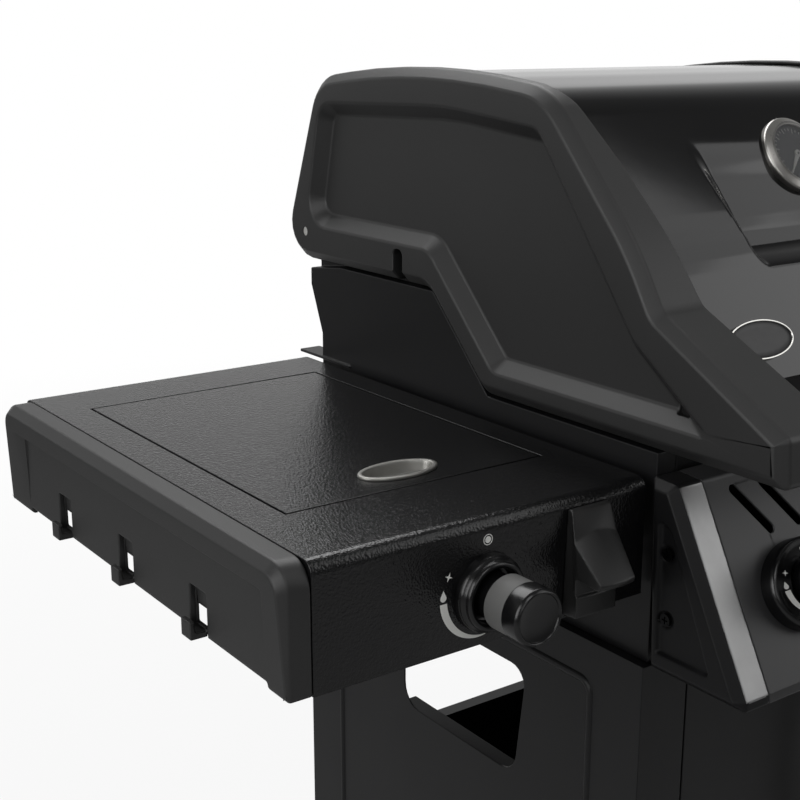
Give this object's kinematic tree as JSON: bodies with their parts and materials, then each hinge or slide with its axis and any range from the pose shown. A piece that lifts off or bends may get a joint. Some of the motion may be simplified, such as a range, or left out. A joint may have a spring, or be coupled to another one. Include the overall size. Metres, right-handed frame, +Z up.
{
  "type": "gas barbecue grill",
  "caption": "Black gas barbecue grill on a two-door cart, with side shelves, a covered side burner, tool hooks and a bottle opener.",
  "frame": {"origin": "on the floor, below the middle of the grill's bounding box", "axes": "+X towards the grill's right shelf as seen from its front, +Y from the knobs to the back, +Z up"},
  "size_m": [1.146, 0.6556, 1.1843],
  "materials": {
    "hood_enamel": "high gloss black enamel",
    "casting_paint": "matte dark grey powder coat on cast aluminium",
    "shelf_powder": "fine leather-texture black powder coat",
    "cart_paint": "satin black paint",
    "panel_paint": "satin dark grey paint",
    "brushed": "brushed stainless steel",
    "polished": "bright plated steel",
    "zinc": "satin die-cast zinc",
    "iron": "porcelain-coated cast iron",
    "brass": "plain brass",
    "knob_plastic": "gloss black with a satin grey grip band",
    "bezel_plastic": "gloss black",
    "dial_grey": "matte grey",
    "needle_white": "matte white",
    "lens": "clear",
    "foot_plastic": "matte",
    "wheel_plastic": "matte, hard tread"
  },
  "bodies": {
    "stand": {"hinge_pins": "polished", "firebox_side_left": "casting_paint", "firebox_side_right": "casting_paint", "firebox_pan": "cart_paint", "burner_left": "brushed", "burner_centre": "brushed", "burner_right": "brushed", "heat_plates": "brushed", "cooking_grates": "iron", "warming_rack": "polished", "gas_manifold": "polished", "gas_valves": "brass", "side_gas_pipe": "brushed", "control_panel": "panel_paint", "control_end_left": "panel_paint", "control_end_right": "panel_paint", "panel_screws": "polished", "knob_bezels": "bezel_plastic", "shelf_left": "shelf_powder", "shelf_end_left": "casting_paint", "shelf_right": "shelf_powder", "shelf_end_right": "casting_paint", "side_bowl": "casting_paint", "side_burner": "brushed", "side_grate": "iron", "bottle_opener": "casting_paint", "frame_left": "cart_paint", "frame_right": "cart_paint", "cart_deck": "cart_paint", "rear_panel": "cart_paint", "front_rail": "cart_paint", "feet": "foot_plastic", "axle": "polished"},
    "hood": {"hood_skin": "hood_enamel", "hood_end_left": "casting_paint", "hood_end_right": "casting_paint", "hood_handle": "casting_paint", "name_plate": "zinc", "gauge_housing": "brushed", "gauge_dial": "dial_grey", "gauge_glass": "lens"},
    "gauge_needle": {"gauge_needle": "needle_white"},
    "side_cover": {"side_cover": "shelf_powder", "cover_pull": "zinc"},
    "door_left": {"door_left": "cart_paint", "door_handle_left": "brushed"},
    "door_right": {"door_right": "cart_paint", "door_handle_right": "brushed"},
    "grease_tray": {"grease_tray": "brushed", "grease_cup": "brushed"},
    "wheel_front": {"wheel_front": "wheel_plastic"},
    "wheel_rear": {"wheel_rear": "wheel_plastic"},
    "stem_left": {"stem_left": "brushed"},
    "knob_left": {"knob_left": "knob_plastic"},
    "stem_centre": {"stem_centre": "brushed"},
    "knob_centre": {"knob_centre": "knob_plastic"},
    "stem_right": {"stem_right": "brushed"},
    "knob_right": {"knob_right": "knob_plastic"},
    "stem_side": {"stem_side": "brushed"},
    "knob_side": {"knob_side": "knob_plastic"}
  },
  "joints": [
    {"name": "hood_hinge", "type": "hinge", "parent": "stand", "child": "hood", "pos_m": [0, 0.29309, 1.019], "axis": [-1, 0, 0], "range_deg": [0, 85]},
    {"name": "gauge_pointer", "type": "hinge", "parent": "hood", "child": "gauge_needle", "pos_m": [0, -0.11176, 1.10939], "axis": [0, 0.8306, -0.5568], "range_deg": [0, 270], "stiffness_Nm_per_rad": 0.0006},
    {"name": "side_cover_hinge", "type": "hinge", "parent": "stand", "child": "side_cover", "pos_m": [-0.394, 0.22209, 0.886], "axis": [-1, 0, 0], "range_deg": [0, 100]},
    {"name": "door_left_hinge", "type": "hinge", "parent": "stand", "child": "door_left", "pos_m": [-0.1905, -0.19891, 0.46], "axis": [0, 0, -1], "range_deg": [0, 110]},
    {"name": "door_right_hinge", "type": "hinge", "parent": "stand", "child": "door_right", "pos_m": [0.1905, -0.19891, 0.46], "axis": [0, 0, 1], "range_deg": [0, 110]},
    {"name": "grease_tray_slide", "type": "slide", "parent": "stand", "child": "grease_tray", "axis": [0, 1, 0], "range_m": [0, 0.3]},
    {"name": "wheel_front_spin", "type": "hinge", "parent": "stand", "child": "wheel_front", "pos_m": [0.163, -0.16991, 0.085], "axis": [0, 1, 0], "continuous": true},
    {"name": "wheel_rear_spin", "type": "hinge", "parent": "stand", "child": "wheel_rear", "pos_m": [0.163, 0.26409, 0.085], "axis": [0, 1, 0], "continuous": true},
    {"name": "stem_left_push", "type": "slide", "parent": "stand", "child": "stem_left", "axis": [0, 0.8839, -0.4677], "range_m": [0, 0.003], "stiffness_N_per_m": 800},
    {"name": "knob_left_turn", "type": "hinge", "parent": "stem_left", "child": "knob_left", "pos_m": [-0.146, -0.26828, 0.80276], "axis": [0, -0.8839, 0.4677], "range_deg": [0, 190]},
    {"name": "stem_centre_push", "type": "slide", "parent": "stand", "child": "stem_centre", "axis": [0, 0.8839, -0.4677], "range_m": [0, 0.003], "stiffness_N_per_m": 800},
    {"name": "knob_centre_turn", "type": "hinge", "parent": "stem_centre", "child": "knob_centre", "pos_m": [0, -0.26828, 0.80276], "axis": [0, -0.8839, 0.4677], "range_deg": [0, 190]},
    {"name": "stem_right_push", "type": "slide", "parent": "stand", "child": "stem_right", "axis": [0, 0.8839, -0.4677], "range_m": [0, 0.003], "stiffness_N_per_m": 800},
    {"name": "knob_right_turn", "type": "hinge", "parent": "stem_right", "child": "knob_right", "pos_m": [0.146, -0.26828, 0.80276], "axis": [0, -0.8839, 0.4677], "range_deg": [0, 190]},
    {"name": "stem_side_push", "type": "slide", "parent": "stand", "child": "stem_side", "axis": [0, 1, 0], "range_m": [0, 0.003], "stiffness_N_per_m": 800},
    {"name": "knob_side_turn", "type": "hinge", "parent": "stem_side", "child": "knob_side", "pos_m": [-0.401, -0.19791, 0.835], "axis": [0, -1, 0], "range_deg": [0, 190]}
  ]
}
